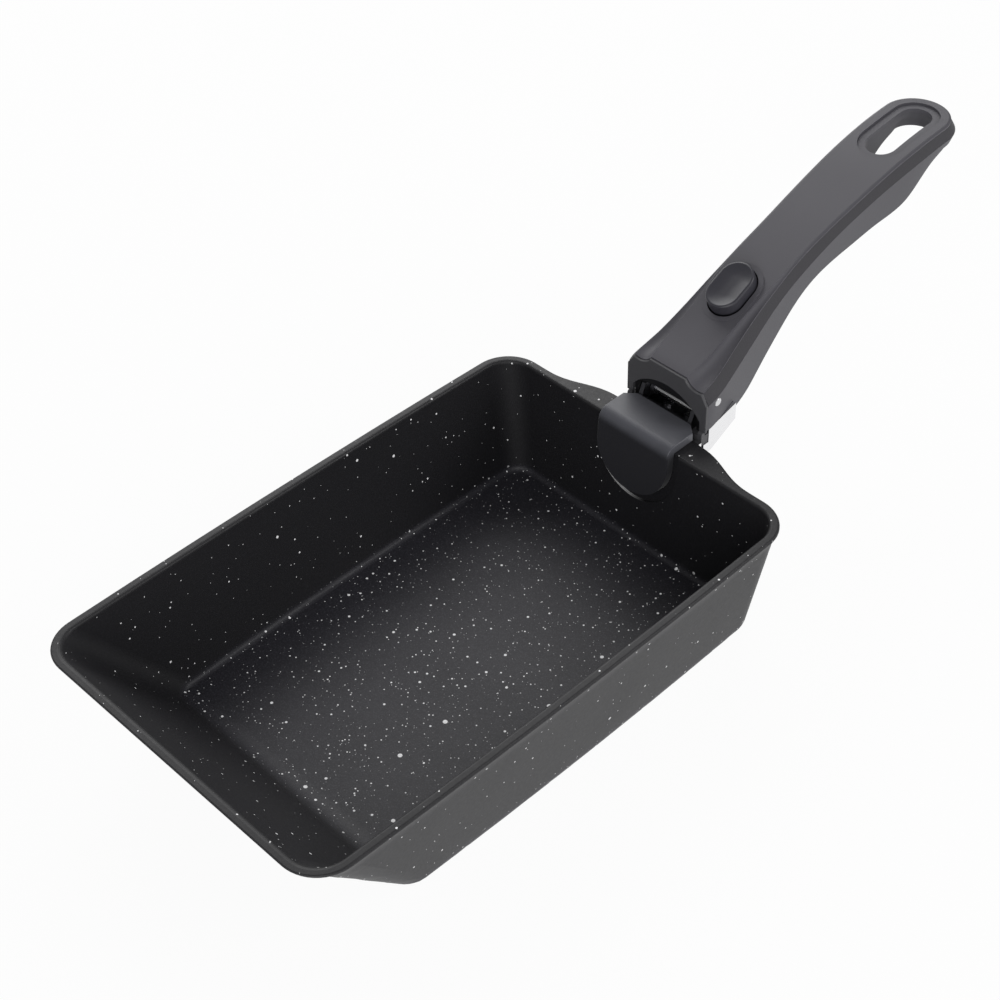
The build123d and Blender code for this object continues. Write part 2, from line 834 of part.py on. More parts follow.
def make_chassis():
    start = handle_front + lip_depth + seam
    end = handle_front + chassis_length
    wall_plate = side_plate([
        (start, chassis_low, 0),
        (handle_front + web_length, chassis_low, 0),
        (end, chassis_low + 3 * chassis_wall, chassis_wall),
        (end, chassis_top - 3 * chassis_wall, chassis_wall),
        (end - 3 * chassis_wall, chassis_top, chassis_wall),
        (start, chassis_top, chassis_wall),
    ], chassis_half - chassis_wall, chassis_half)
    web = side_plate([
        (start, chassis_low, 0),
        (handle_front + web_length, chassis_low, 0),
        (handle_front + web_length, chassis_low + chassis_wall, 0),
        (start, chassis_low + chassis_wall, 0),
    ], -chassis_half, chassis_half)
    chassis = joined([web] + both_sides(wall_plate))
    chassis = chassis - cross_rod(pivot[0], pivot[1], pivot_radius + pin_clearance, nose_half)
    reach = guide_radius + slot_clearance
    end_radius = reach - seam
    slot = side_plate([
        (handle_front + guide_back + reach, guide_height - reach, end_radius),
        (handle_front + guide_back + reach, guide_height + reach, end_radius),
        (handle_front + guide_back - jaw_stroke - reach, guide_height + reach, end_radius),
        (handle_front + guide_back - jaw_stroke - reach, guide_height - reach, end_radius),
    ], -nose_half, nose_half)
    chassis = chassis - slot
    for x in (-rivet_across, rivet_across):
        chassis = chassis - Pos(x, handle_front + rivet_back, chassis_low) * Cylinder(
            rivet_radius + pin_clearance, 4 * chassis_wall)
    return chassis


def make_rivets():
    rivets = []
    y = handle_front + rivet_back
    slope = (guard_end_height - guard_bend_height) / (guard_length - guard_bend_back)
    low = guard_bend_height + slope * (rivet_back - guard_bend_back) - rivet_head * slope
    high = chassis_low + chassis_wall
    for x in (-rivet_across, rivet_across):
        shank = Pos(x, y, (low + high) / 2) * Cylinder(rivet_radius, high - low)
        top = Pos(x, y, high + rivet_head_height / 2) * Cylinder(rivet_head, rivet_head_height)
        foot = Pos(x, y, low - rivet_head_height / 2) * Cylinder(rivet_head, rivet_head_height)
        rivets.append(shank + top + foot)
    return rivets


pin_proud = 0.1


def make_pivot_pin():
    half = handle_at(pivot[0])["half"] + pin_proud - seam
    pin = cross_rod(pivot[0], pivot[1], pivot_radius, half)
    return chamfer(pin.edges().filter_by(GeomType.CIRCLE), pin_proud)


# Jaw

ear_outer = chassis_half - chassis_wall - side_clearance
ear_inner = ear_outer - jaw_thickness
ear_low = pan_height + ear_low_lift
ear_top = pan_height + ear_top_lift
cover_taper = 3.4
cover_taper_run = 3.0
cover_edge = 0.6
roll_radius = 4.2
bend_radius = 2.2


def wall_point(height, out):
    """Y and Z of a point beside the inner face of the handle-end wall."""
    lean = atan(wall_slope)
    y = floor_length / 2 + wall_slope * (height - floor_thickness)
    return (y - out * cos(lean), height + out * sin(lean))


def tongue_section(back, front, low, under, over, rear, radius_in, radius_out):
    """Hook outline: down along the wall, over the rim and back to the mouth."""
    low_back = wall_point(low, back)
    low_front = wall_point(low, front)
    slope = wall_slope
    top_back = (low_back[0] + slope * (under - low_back[1]), under)
    top_front = (low_front[0] + slope * (over - low_front[1]), over)
    return [
        (rear, under, 0),
        (top_back[0], top_back[1], radius_in),
        (low_back[0], low_back[1], 0),
        (low_front[0], low_front[1], 0),
        (top_front[0], top_front[1], radius_out),
        (rear, over, 0),
    ]


def trimmed_hook(hook, radius):
    """Cut the hook's lower end to a rounded shield."""
    shape = slab(shield(radius, pan_height - bend_radius, 0), -overrun, 2 * overrun)
    over_rim = side_plate([
        (near_inner - 4 * overrun, pan_height - bend_radius - overrun, 0),
        (near_inner + 8 * overrun, pan_height - bend_radius - overrun, 0),
        (near_inner + 8 * overrun, pan_height + 2 * overrun, 0),
        (near_inner - 4 * overrun, pan_height + 2 * overrun, 0),
    ], -radius, radius)
    return hook & (shape + over_rim)


def make_jaw():
    back = -seat_depth + jaw_gap + cover_skin
    low = pan_height - tongue_drop + cover_skin
    hook = side_plate(tongue_section(back, back + jaw_thickness, low, strip_low, strip_high,
                                     crank[0] - 2 * chassis_wall - pivot_radius - slot_web,
                                     bend_radius, bend_radius + jaw_thickness),
                      -tongue_half, tongue_half)
    hook = trimmed_hook(hook, tongue_half)
    ear = side_plate([
        (crank[0] - 3 * slot_web, ear_low, 0),
        (handle_front + guide_back + 2 * guide_radius, ear_low, chassis_wall),
        (handle_front + guide_back + 2 * guide_radius, ear_top, chassis_wall),
        (crank[0] - 2 * slot_web, ear_top, chassis_wall),
        (crank[0] - 3 * slot_web, strip_high, 0),
    ], ear_inner, ear_outer)
    back_strip = side_plate([
        (boss_face, strip_low, 0),
        (crank[0] - 3 * slot_web + jaw_thickness, strip_low, 0),
        (crank[0] - 3 * slot_web + jaw_thickness, strip_high, 0),
        (boss_face, strip_high, 0),
    ], -ear_outer, ear_outer)
    front_part = hook & side_plate([
        (-rim_length, 0, 0), (boss_face, 0, 0), (boss_face, rim_length, 0), (-rim_length, rim_length, 0),
    ], -rim_width, rim_width)
    jaw = joined([front_part, back_strip] + both_sides(ear))
    half = pivot_radius + slot_clearance
    end_radius = half - seam
    rise = crank_radius * (1 - cos(radians(lever_travel)))
    slot = side_plate([
        (crank[0] + half, crank[1] - half, end_radius),
        (crank[0] + half, crank[1] + rise + half, end_radius),
        (crank[0] - half, crank[1] + rise + half, end_radius),
        (crank[0] - half, crank[1] - half, end_radius),
    ], -nose_half, nose_half)
    jaw = jaw - slot
    return jaw - cross_rod(handle_front + guide_back, guide_height, guide_radius + pin_clearance, nose_half)


def make_jaw_cover():
    back = -seat_depth + jaw_gap
    rear = handle_front - lip_forward - jaw_gap
    low = pan_height - tongue_drop
    skin_under = pan_height + jaw_gap
    section_points = tongue_section(back, back + 2 * cover_skin + jaw_thickness, low, skin_under,
                                    strip_high + cover_skin, rear, 0, roll_radius)
    half = tongue_half + cover_skin
    hook = side_plate(section_points, -half, half)
    cover = trimmed_hook(hook, half)
    corner = [(half, rear - cover_taper_run), (half + overrun, rear - cover_taper_run),
              (half + overrun, rear + overrun), (half - cover_taper, rear + overrun),
              (half - cover_taper, rear)]
    taper = slab(closed_face(Plane.XY, corner), pan_height - tongue_drop, pan_height + overrun)
    cover = cover - joined(both_sides(taper))
    ends = [e for e in cover.edges() if abs(e.center().X) > half - cover_taper and e.center().Z > strip_high]
    return fillet(ends, cover_edge) - make_jaw_tool()


def make_jaw_tool():
    """The room that the steel takes inside the silicone."""
    back = -seat_depth + jaw_gap + cover_skin
    low = pan_height - tongue_drop + cover_skin
    hook = side_plate(tongue_section(back, back + jaw_thickness, low, strip_low, strip_high,
                                     boss_face, bend_radius, bend_radius + jaw_thickness),
                      -tongue_half, tongue_half)
    hook = trimmed_hook(hook, tongue_half)
    strip = side_plate([
        (boss_face, strip_low, 0), (handle_front, strip_low, 0),
        (handle_front, strip_high, 0), (boss_face, strip_high, 0),
    ], -ear_outer, ear_outer)
    ears = side_plate([
        (crank[0] - 3 * slot_web - seam, ear_low - seam, 0), (handle_front, ear_low - seam, 0),
        (handle_front, ear_top, 0), (crank[0] - 3 * slot_web - seam, ear_top, 0),
    ], ear_inner - seam, ear_outer + seam)
    return joined([hook, strip] + both_sides(ears))


def make_guide_pin():
    return cross_rod(handle_front + guide_back, guide_height, guide_radius, chassis_half - seam)


# Lever

arm_outer = ear_inner - side_clearance
eye_radius = 3.0
crank_eye_radius = 2.6
link_half = 1.7
web_start_share = 0.193
web_run_share = 0.1892
web_start = grip_length * web_start_share
web_run = grip_length * web_run_share
web_start_height = pan_height + web_start_lift
web_rise = 18.0
web_thickness = 1.5
arm_height = 2.4
catch_half = 3.0
catch_back = 39.5
catch_thickness = 1.4
catch_top = pan_height + catch_top_lift
catch_nose = 2.2
catch_nose_height = 1.2
lever_screw_shares = (0.2, 0.84)
lever_proud = 0.8


def web_line(share, out):
    """Y and Z on the slope of the bracket's web."""
    length = hypot(web_run, web_rise)
    return (handle_front + web_start + web_run * share - out * web_rise / length,
            web_start_height + web_rise * share + out * web_run / length)


def arm_solid():
    eye = Pos(0, pivot[0], pivot[1]) * Rot(0, 90, 0) * Cylinder(eye_radius, arm_thickness)
    crank_eye = Pos(0, crank[0], crank[1]) * Rot(0, 90, 0) * Cylinder(crank_eye_radius, arm_thickness)
    low_front = web_line(0, 0)
    low_back = web_line(1, 0)
    high_front = web_line(0, arm_height + web_thickness)
    high_back = web_line(1, arm_height)
    half = arm_thickness / 2
    link = side_plate([
        (pivot[0] - link_half, pivot[1], 0),
        (crank[0] - link_half, crank[1], 0),
        (crank[0] + link_half, crank[1], 0),
        (pivot[0] + link_half, pivot[1], 0),
    ], -half, half)
    rear = side_plate([
        (pivot[0], pivot[1] + eye_radius, 0),
        (pivot[0], pivot[1] - eye_radius, 0),
        (low_front[0], low_front[1], 0),
        (low_back[0], low_back[1], 0),
        (high_back[0], high_back[1], web_thickness),
        (high_front[0], high_front[1], 3 * web_thickness),
    ], -half, half)
    return Pos(arm_outer - half, 0, 0) * joined([eye, crank_eye, link, rear])


def make_bracket():
    arms = both_sides(arm_solid())
    low_front, low_back = web_line(0, 0), web_line(1, 0)
    high_back, high_front = web_line(1, web_thickness), web_line(0, web_thickness)
    web = side_plate([
        (low_front[0], low_front[1], 0), (low_back[0], low_back[1], 0),
        (high_back[0], high_back[1], 0), (high_front[0], high_front[1], 0),
    ], -arm_outer, arm_outer)
    post_front = handle_front + catch_back
    post_back = post_front + catch_thickness
    share = (catch_back + catch_thickness - web_start) / web_run
    foot = web_line(share, web_thickness / 4)[1]
    post = side_plate([
        (post_front, foot, 0),
        (post_back, foot, 0),
        (post_back, catch_top - catch_nose_height, 0),
        (post_back + catch_nose, catch_top - catch_nose_height, 0),
        (post_back + catch_nose / 2, catch_top, catch_thickness / 4),
        (post_front, catch_top, catch_thickness / 2),
    ], -catch_half, catch_half)
    bracket = joined([web, post] + arms)
    bracket = bracket - cross_rod(pivot[0], pivot[1], pivot_radius + pin_clearance, nose_half)
    bracket = bracket - cross_rod(crank[0], crank[1], pivot_radius, nose_half)
    for share in lever_screw_shares:
        bracket = bracket - web_rod(share, screw_shank + pin_clearance, -overrun, overrun)
    return bracket


def web_rod(share, radius, low, high):
    """Rod square to the bracket's web."""
    y, z = web_line(share, 0)
    plane = Plane(origin=(0, y, z), x_dir=(1, 0, 0), z_dir=(0, -web_rise, web_run))
    return plane * Pos(0, 0, (low + high) / 2) * Cylinder(radius, high - low)


def make_crank_pin():
    return cross_rod(crank[0], crank[1], pivot_radius, ear_outer - seam)


lever_screw_depth = 3.6


def make_lever_screws():
    screws = []
    for share in lever_screw_shares:
        shank = web_rod(share, screw_shank, -lever_screw_depth, web_thickness)
        head = web_rod(share, screw_head, web_thickness, web_thickness + screw_head_height)
        screws.append(shank + head)
    return screws


lever_low_shares = (0.2, 0.26, 0.325, 0.385, 0.45, 0.535, 0.635, 0.72)
lever_end_share = 0.755
lever_top_shares = ((0.18, 0.8), (0.41, 0.775), (0.9, 0.775))
lever_plan_shares = (0.1, 0.2, 0.26, 0.325, 0.385, 0.45, 0.535, 0.635, 0.745, 0.855)
lever_nose_low = -41.5
lever_nose_high = -16.0


def make_lever_grip():
    first, last = radians(lever_nose_low), radians(lever_nose_high)
    middle = (first + last) / 2
    nose = [(pivot[0] + lever_nose_radius * cos(a), pivot[1] + lever_nose_radius * sin(a))
            for a in (first, middle, last)]
    low = []
    for share in lever_low_shares:
        place = handle_at(handle_front + grip_length * share)
        low.append((place["y"], place["top"] - place["body"] - lever_proud))
    end = handle_at(handle_front + grip_length * lever_end_share)
    end_low = (end["y"], end["top"] - end["body"] + lever_proud)
    end_high = (end["y"], end["top"] - deck_depth - deck_thickness - 5 * lever_clearance)
    top = [web_line(0, 0), web_line(1, 0)]
    for share, depth_share in lever_top_shares:
        place = handle_at(top[1][0] + (end["y"] - top[1][0]) * share)
        top.append((place["y"], place["top"] - place["body"] * depth_share))
    edges = [
        ThreePointArc(nose[2], nose[1], nose[0]),
        Spline([nose[0]] + low + [end_low]),
        Line(end_low, end_high),
        Line(end_high, top[-1]),
        Spline(list(reversed(top[1:]))),
        Line(top[1], top[0]),
        Line(top[0], nose[2]),
    ]
    profile = make_face(Plane.YZ * Wire(edges))
    profile_solid = extrude(Pos(-nose_half, 0, 0) * profile, amount=2 * nose_half, dir=(1, 0, 0))
    plan_places = [handle_at(handle_front + grip_length * share) for share in lever_plan_shares]
    right = [(p["half"] - shell_wall - lever_clearance, p["y"]) for p in plan_places]
    left = [(-x, y) for x, y in reversed(right)]
    plan_edges = [Spline(right), Line(right[-1], left[0]), Spline(left), Line(left[-1], right[0])]
    plan = extrude(make_face(Plane.XY * Wire(plan_edges)), amount=2 * pan_height + handle_rise)
    lever = profile_solid & plan
    for share in lever_screw_shares:
        lever = lever - web_rod(share, screw_shank, -lever_screw_depth - pin_clearance, overrun)
    return lever


# Button and latch

button_floor = 5.4
button_skirt = 1.1
button_skirt_height = 0.9
button_dish = 0.9
dish_margin = 0.7
dish_run = 4.9
dish_shares = (0, 0.25, 0.5, 0.75, 1)
button_edge = 0.7
pocket_wall = 2.0
pocket_top = 1.8
foot_inner = 4.0
foot_outer = 6.4
foot_start = 6.5
foot_end = 10.0


def make_button():
    cap = button_slot(0, -button_floor, button_height)
    top_edges = cap.faces().sort_by(Axis(button_plane().origin, button_plane().z_dir))[-1].edges()
    cap = fillet(top_edges, button_edge)
    plane = button_plane()
    levels = []
    for share in dish_shares:
        inset = 2 * (dish_margin + dish_run * share)
        outline = SlotOverall(button_length - inset, button_width - inset, rotation=90)
        depth = button_dish * (1 - (1 - share) * (1 - share))
        levels.append(plane.offset(button_height + seam - depth) * outline)
    dish = loft(levels)
    skirt = button_slot(button_skirt, -button_floor, -button_floor + button_skirt_height)
    feet = []
    for side in (-1, 1):
        low, high = sorted((side * foot_inner, side * foot_outer))
        corners = [(low, foot_start), (high, foot_start), (high, foot_end), (low, foot_end)]
        feet.append(slab(closed_face(plane, corners), -foot_low, -button_floor + seam))
    button = joined([cap - dish, skirt] + feet)
    return button - button_slot(-pocket_wall, -button_floor - overrun, pocket_top)


leaf_thickness = 0.6
leaf_half = 6.4
leaf_flange = 13.2
leaf_knee = pan_height + leaf_knee_lift
hook_length = 2.8
hook_front = 42.1


def latch_path():
    """Y and Z along the middle of the latch leaf."""
    flange_out = -latch_boss_low - seam - leaf_thickness / 2
    start = button_point(latch_boss_start + latch_boss_length, flange_out)
    bend = button_point(leaf_flange, flange_out)
    knee = (handle_front + hook_front + hook_length, leaf_knee)
    tip = (handle_front + hook_front, leaf_knee)
    return [start, bend, knee, tip]


def make_latch():
    path = latch_path()
    half = leaf_thickness / 2
    leaf = None
    for (y0, z0), (y1, z1) in zip(path, path[1:]):
        length = hypot(y1 - y0, z1 - z0)
        ny, nz = -(z1 - z0) / length * half, (y1 - y0) / length * half
        run = side_plate([
            (y0 + ny, z0 + nz, 0), (y1 + ny, z1 + nz, 0),
            (y1 - ny, z1 - nz, 0), (y0 - ny, z0 - nz, 0),
        ], -leaf_half, leaf_half)
        leaf = run if leaf is None else leaf + run
    for y, z in path[1:-1]:
        leaf = leaf + cross_rod(y, z, half, leaf_half)
    return leaf - latch_screw_hole()


def latch_screw_rod(radius, low, high):
    plane = button_plane()
    along = latch_boss_start + latch_boss_length / 2
    return plane * Pos(0, along, (low + high) / 2) * Cylinder(radius, high - low)


def latch_screw_hole():
    return latch_screw_rod(screw_shank, -2 * latch_boss_low, -latch_boss_low / 2)


def make_latch_screw():
    under = -latch_boss_low - seam - leaf_thickness
    shank = latch_screw_rod(screw_shank - pin_clearance, under, -latch_boss_low / 2)
    return shank + latch_screw_rod(screw_head, under - screw_head_height, under)


def make_shell_screws():
    screws = []
    for place in screw_places():
        under = place["top"] - deck_depth - deck_thickness
        high = place["top"] - 2 * cover_thickness - seam
        shank = Pos(0, place["y"], (under + high) / 2) * Cylinder(screw_shank - pin_clearance, high - under)
        head = Pos(0, place["y"], under - screw_head_height / 2) * Cylinder(screw_head, screw_head_height)
        screws.append(shank + head)
    return screws


# Springs, each one unbroken wire through pairs of arcs

def biarc(start, start_dir, end, end_dir):
    """Two arcs that meet smoothly, between two points with given directions."""
    span = end - start
    total = start_dir + end_dir
    along = span.dot(total)
    bend = 2 * (1 - start_dir.dot(end_dir))
    reach = (-along + sqrt(along * along + bend * span.dot(span))) / bend
    one = start + start_dir * reach
    two = end - end_dir * reach
    middle = (one + two) * 0.5
    return [TangentArc(start, middle, tangent=start_dir),
            TangentArc(middle, end, tangent=(two - one).normalized())]


def coil(place, turn_total, pieces, lead_in, lead_out):
    """Wire path: a straight end, arcs along the turns and a straight end."""
    spots = [place(turn_total * number / pieces) for number in range(pieces + 1)]
    edges = [Line(spots[0][0] - spots[0][1] * lead_in, spots[0][0])]
    for (start, start_dir), (end, end_dir) in zip(spots, spots[1:]):
        edges += biarc(start, start_dir, end, end_dir)
    edges.append(Line(spots[-1][0], spots[-1][0] + spots[-1][1] * lead_out))
    return Wire(edges)


def wire_solid(path, radius):
    start = path @ 0
    plane = Plane(origin=start, z_dir=path % 0)
    return sweep(plane * Circle(radius), path=path)


lever_leg = 20.5
cover_leg = 1.6
leg_rise = 8.4
lever_spring_turns = 3


def make_lever_spring():
    start_angle = radians(leg_rise - 90)
    total = radians(90 + leg_rise) + 2 * pi * lever_spring_turns
    advance = spring_pitch / (2 * pi)
    offset = -advance * total / 2

    def place(turn):
        angle = start_angle - turn
        point = Vector(offset + advance * turn, pivot[0] + spring_radius * cos(angle),
                       pivot[1] + spring_radius * sin(angle))
        direction = Vector(advance, spring_radius * sin(angle), -spring_radius * cos(angle))
        return point, direction.normalized()

    path = coil(place, total, 4 * lever_spring_turns + 2, lever_leg, cover_leg)
    print("lever spring gap to itself", round(spring_pitch - spring_wire, 2))
    return wire_solid(path, spring_wire / 2)


def make_button_spring():
    low = -shelf_depth + button_wire
    high = pocket_top - button_wire
    total = 2 * pi * button_coil_turns
    advance = (high - low) / total
    plane = button_plane()
    centre = plane.origin - plane.y_dir * (button_length / 2 - button_width / 2)
    across, along, out = plane.x_dir, plane.y_dir, plane.z_dir

    def place(turn):
        point = (centre + across * (button_coil_radius * cos(turn))
                 + along * (button_coil_radius * sin(turn)) + out * (low + advance * turn))
        direction = (across * (-button_coil_radius * sin(turn))
                     + along * (button_coil_radius * cos(turn)) + out * advance)
        return point, direction.normalized()

    path = coil(place, total, 4 * button_coil_turns, button_wire, button_wire)
    print("button spring gap to itself", round((high - low) / button_coil_turns - button_wire, 2))
    return wire_solid(path, button_wire / 2)


def save(name, shape):
    shapes = shape if isinstance(shape, list) else [shape]
    solids = [solid for piece in shapes for solid in piece.solids()]
    export_step(Compound(children=solids) if len(solids) > 1 else solids[0], f"parts/{name}.step")
    print(name, len(solids), round(sum(solid.volume for solid in solids)))


os.makedirs("parts", exist_ok=True)
save("pan_body", make_pan())
save("induction_plate", plate_solid(0))
save("handle_cover", make_cover())
save("grip_band", make_band())
save("handle_shell", make_shell())
save("front_bezel", make_bezel())
save("mouth_liner", make_liner())
save("flame_guard", make_guard())
save("outer_pad", make_pad())
save("chassis", make_chassis())
save("guard_rivets", make_rivets())
save("pivot_pin", make_pivot_pin())
save("clamp_jaw", make_jaw())
save("jaw_cover", make_jaw_cover())
save("guide_pin", make_guide_pin())
save("lever_bracket", make_bracket())
save("crank_pin", make_crank_pin())
save("lever_grip", make_lever_grip())
save("lever_screws", make_lever_screws())
save("release_button", make_button())
save("latch_leaf", make_latch())
save("latch_screw", make_latch_screw())
save("shell_screws", make_shell_screws())
save("lever_spring", make_lever_spring())
save("button_spring", make_button_spring())
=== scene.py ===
# %% [markdown]
# This lesson dresses a tamagoyaki pan: a rectangular egg-roll pan with a clip-on handle. The solid model
# comes in first and stays where it is, so every piece made here is measured from it. Lengths are metres.

# %% Load the model
import math
import bpy
from mathutils import Matrix, Vector


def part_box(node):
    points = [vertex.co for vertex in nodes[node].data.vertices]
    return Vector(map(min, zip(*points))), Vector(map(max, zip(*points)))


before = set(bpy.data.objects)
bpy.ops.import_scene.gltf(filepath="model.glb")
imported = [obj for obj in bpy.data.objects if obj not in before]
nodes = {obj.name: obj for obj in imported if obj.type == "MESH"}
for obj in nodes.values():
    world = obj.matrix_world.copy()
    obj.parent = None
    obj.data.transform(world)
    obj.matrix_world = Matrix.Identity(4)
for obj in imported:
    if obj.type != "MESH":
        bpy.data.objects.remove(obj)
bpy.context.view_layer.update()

# %% [markdown]
# The photograph was taken from above and to the right, with a long lens. A camera is a place, three
# directions and a focal length. The directions are worked out from the angle round the object, the height
# above it and the tilt of the picture, because these three numbers are easy to correct one at a time.

# %% Camera
around, above, tilt = math.radians(46.89), math.radians(42.45), math.radians(-1.97)
camera_place = Vector((0.3401, -0.3007, 0.4870))
sensor_width, focal_length = 36, 71.52
nearest_seen = 0.05
backward = Vector((math.sin(around) * math.cos(above), -math.cos(around) * math.cos(above), math.sin(above)))
level = Vector((math.cos(around), math.sin(around), 0))
upright = backward.cross(level)
right = level * math.cos(tilt) + upright * math.sin(tilt)
upward = upright * math.cos(tilt) - level * math.sin(tilt)
camera_data = bpy.data.cameras.new("photo_camera")
camera_data.sensor_width = sensor_width
camera_data.lens = focal_length
camera_data.clip_start = nearest_seen
camera = bpy.data.objects.new("photo_camera", camera_data)
turn = Matrix((right, upward, backward)).transposed().to_4x4()
camera.matrix_world = Matrix.Translation(camera_place) @ turn
bpy.context.scene.collection.objects.link(camera)
bpy.context.scene.camera = camera
bpy.context.scene.view_settings.view_transform = "Standard"
print("camera looks along", [round(v, 3) for v in -backward])

# %% [markdown]
# A catalogue photograph uses big soft lamps and a white table. Three area lamps stand in for the soft
# boxes: a large one behind that gives the floor its even sheen, and weaker ones to the right and in
# front. The world lights the rest evenly.

# %% Lamps and world
def soft_box(name, place, target, size, power):
    lamp = bpy.data.lights.new(name, "AREA")
    lamp.shape = "SQUARE"
    lamp.size = size
    lamp.energy = power
    stand = bpy.data.objects.new(name, lamp)
    aim = (Vector(target) - Vector(place)).to_track_quat("-Z", "Y")
    stand.matrix_world = Matrix.Translation(place) @ aim.to_matrix().to_4x4()
    bpy.context.scene.collection.objects.link(stand)


middle = (0, 0.05, 0.05)
soft_box("back_box", (-1.05, 0.80, 0.90), middle, 1.3, 14.5)
soft_box("right_box", (0.95, 0.75, 0.75), middle, 0.6, 5)
soft_box("front_box", (0.7, -0.9, 0.55), middle, 0.9, 7)

world_strength = 0.22
world = bpy.data.worlds.new("studio")
bpy.context.scene.world = world
world.use_nodes = True
surroundings = world.node_tree
surroundings.nodes["Background"].inputs["Strength"].default_value = world_strength
surroundings.nodes["Background"].inputs["Color"].default_value = (1, 1, 1, 1)
seen = surroundings.nodes.new("ShaderNodeBackground")
seen.inputs["Color"].default_value = (1, 1, 1, 1)
path = surroundings.nodes.new("ShaderNodeLightPath")
choice = surroundings.nodes.new("ShaderNodeMixShader")
surroundings.links.new(path.outputs["Is Camera Ray"], choice.inputs["Fac"])
surroundings.links.new(surroundings.nodes["Background"].outputs[0], choice.inputs[1])
surroundings.links.new(seen.outputs[0], choice.inputs[2])
surroundings.links.new(choice.outputs[0], surroundings.nodes["World Output"].inputs["Surface"])

# %% [markdown]
# Finishes are made of nodes. Wiring them by hand is slow to read, so two small classes let a finish be
# written as sums: Flow is one value travelling through the nodes, and Finish is one material that makes
# them.

# %% Helpers for finishes
class Flow:
    """A value that changes over the surface, used like a number."""

    def __init__(self, finish, socket):
        self.finish = finish
        self.socket = socket

    def math(self, operation, *values):
        return self.finish.node("ShaderNodeMath", {"operation": operation}, dict(enumerate(values)))

    def __add__(self, other):
        return self.math("ADD", self, other)

    def __sub__(self, other):
        return self.math("SUBTRACT", self, other)

    def __rsub__(self, other):
        return self.math("SUBTRACT", other, self)

    def __mul__(self, other):
        return self.math("MULTIPLY", self, other)

    __radd__ = __add__
    __rmul__ = __mul__

    def power(self, exponent):
        return self.math("POWER", self, exponent)

    def size(self):
        return self.math("ABSOLUTE", self)

    def most(self, other):
        return self.math("MAXIMUM", self, other)

    def least(self, other):
        return self.math("MINIMUM", self, other)

    def wave(self):
        return self.math("SINE", self)

    def step(self, low, high):
        """0 below low, 1 above high and a soft change between; low may be the larger."""
        settings = {"interpolation_type": "SMOOTHSTEP"}
        limits = {"Value": self, "From Min": low, "From Max": high}
        return self.finish.node("ShaderNodeMapRange", settings, limits)


class Finish:
    """One material: its nodes are added by type, settings and inputs."""

    def __init__(self, name, **constants):
        self.material = bpy.data.materials.new(name)
        self.material.use_nodes = True
        self.tree = self.material.node_tree
        self.shader = self.tree.nodes["Principled BSDF"]
        self.set(**constants)
        self.where = self.node("ShaderNodeTexCoord", out="Object")
        self.x, self.y, self.z = (
            self.node("ShaderNodeSeparateXYZ", {}, {0: self.where}, out=axis) for axis in range(3))

    def node(self, kind, settings=None, inputs=None, out=0):
        made = self.tree.nodes.new(kind)
        for name, value in (settings or {}).items():
            setattr(made, name, value)
        for name, value in (inputs or {}).items():
            self.put(made.inputs[name], value)
        return Flow(self, made.outputs[out])

    def put(self, socket, value):
        if isinstance(value, Flow):
            self.tree.links.new(value.socket, socket)
        elif socket.type == "RGBA" and len(value) == 3:
            socket.default_value = (*value, 1)
        else:
            socket.default_value = value

    def set(self, **values):
        for name, value in values.items():
            self.put(self.shader.inputs[name.replace("_", " ")], value)

    def mix(self, share, first, second):
        """Blend of two colours."""
        made = self.tree.nodes.new("ShaderNodeMix")
        made.data_type = "RGBA"
        self.put(made.inputs["Factor"], share)
        self.put(made.inputs[6], first)
        self.put(made.inputs[7], second)
        return Flow(self, made.outputs[2])

    def noise(self, scale, detail, stretch=(1, 1, 1)):
        place = self.node("ShaderNodeMapping", {}, {"Vector": self.where, "Scale": stretch})
        return self.node("ShaderNodeTexNoise", {}, {"Vector": place, "Scale": scale, "Detail": detail})

    def bump(self, height, strength, distance):
        relief = {"Height": height, "Strength": strength, "Distance": distance}
        made = self.node("ShaderNodeBump", {}, relief)
        self.put(self.shader.inputs["Normal"], made)


def wear(finish, *names):
    """Give a finish to solid nodes by name."""
    for name in names:
        node = nodes[name]
        node.data.materials.clear()
        node.data.materials.append(finish.material)


print("nodes to dress", sorted(nodes)[:3], "and", len(nodes) - 3, "more")

# %% [markdown]
# The table is a plain sheet. For the camera it is white, and a part of its own shading is mixed in so
# that the pan's shadow still falls on it.

# %% Table
bpy.ops.object.select_all(action="DESELECT")
bpy.ops.mesh.primitive_plane_add(size=8)
table = bpy.context.object
table.name = "table"
cloth = Finish("table_white", Base_Color=(0.9, 0.9, 0.9), Roughness=0.9, Specular_IOR_Level=0.1)
white = cloth.node("ShaderNodeEmission", {}, {"Color": (1, 1, 1), "Strength": 1.0})
rays = [cloth.node("ShaderNodeLightPath", out=name) for name in
        ("Is Camera Ray", "Is Glossy Ray", "Is Transmission Ray")]
white_share = 0.95
share = (rays[0] + rays[1] + rays[2]).least(1.0) * white_share
plain = Flow(cloth, cloth.shader.outputs[0])
shown = cloth.node("ShaderNodeMixShader", {}, {"Fac": share, 1: plain, 2: white})
cloth.tree.links.new(shown.socket, cloth.tree.nodes["Material Output"].inputs["Surface"])
table.data.materials.append(cloth.material)
print("table", [round(v, 2) for v in table.dimensions])

# %% [markdown]
# The pan is cast aluminium under a stone-look non-stick coating: dark, faintly blue, with pale flecks.
# The flecks crowd on the floor and are few on the walls. They are balls in the middle of Voronoi cells,
# cut by the surface, and each cell's own random number sets its ball's size. The flecks also glow faintly,
# a painted glow. The floor is painted lighter and bluer than the walls: painted light on the floor and
# painted shade on the walls. A pale arc on the wall by the jaw is a painted highlight, brighter on one side.

# %% Coating of the pan
coating = Finish("stone_coating", Roughness=0.42, Specular_IOR_Level=0.5)


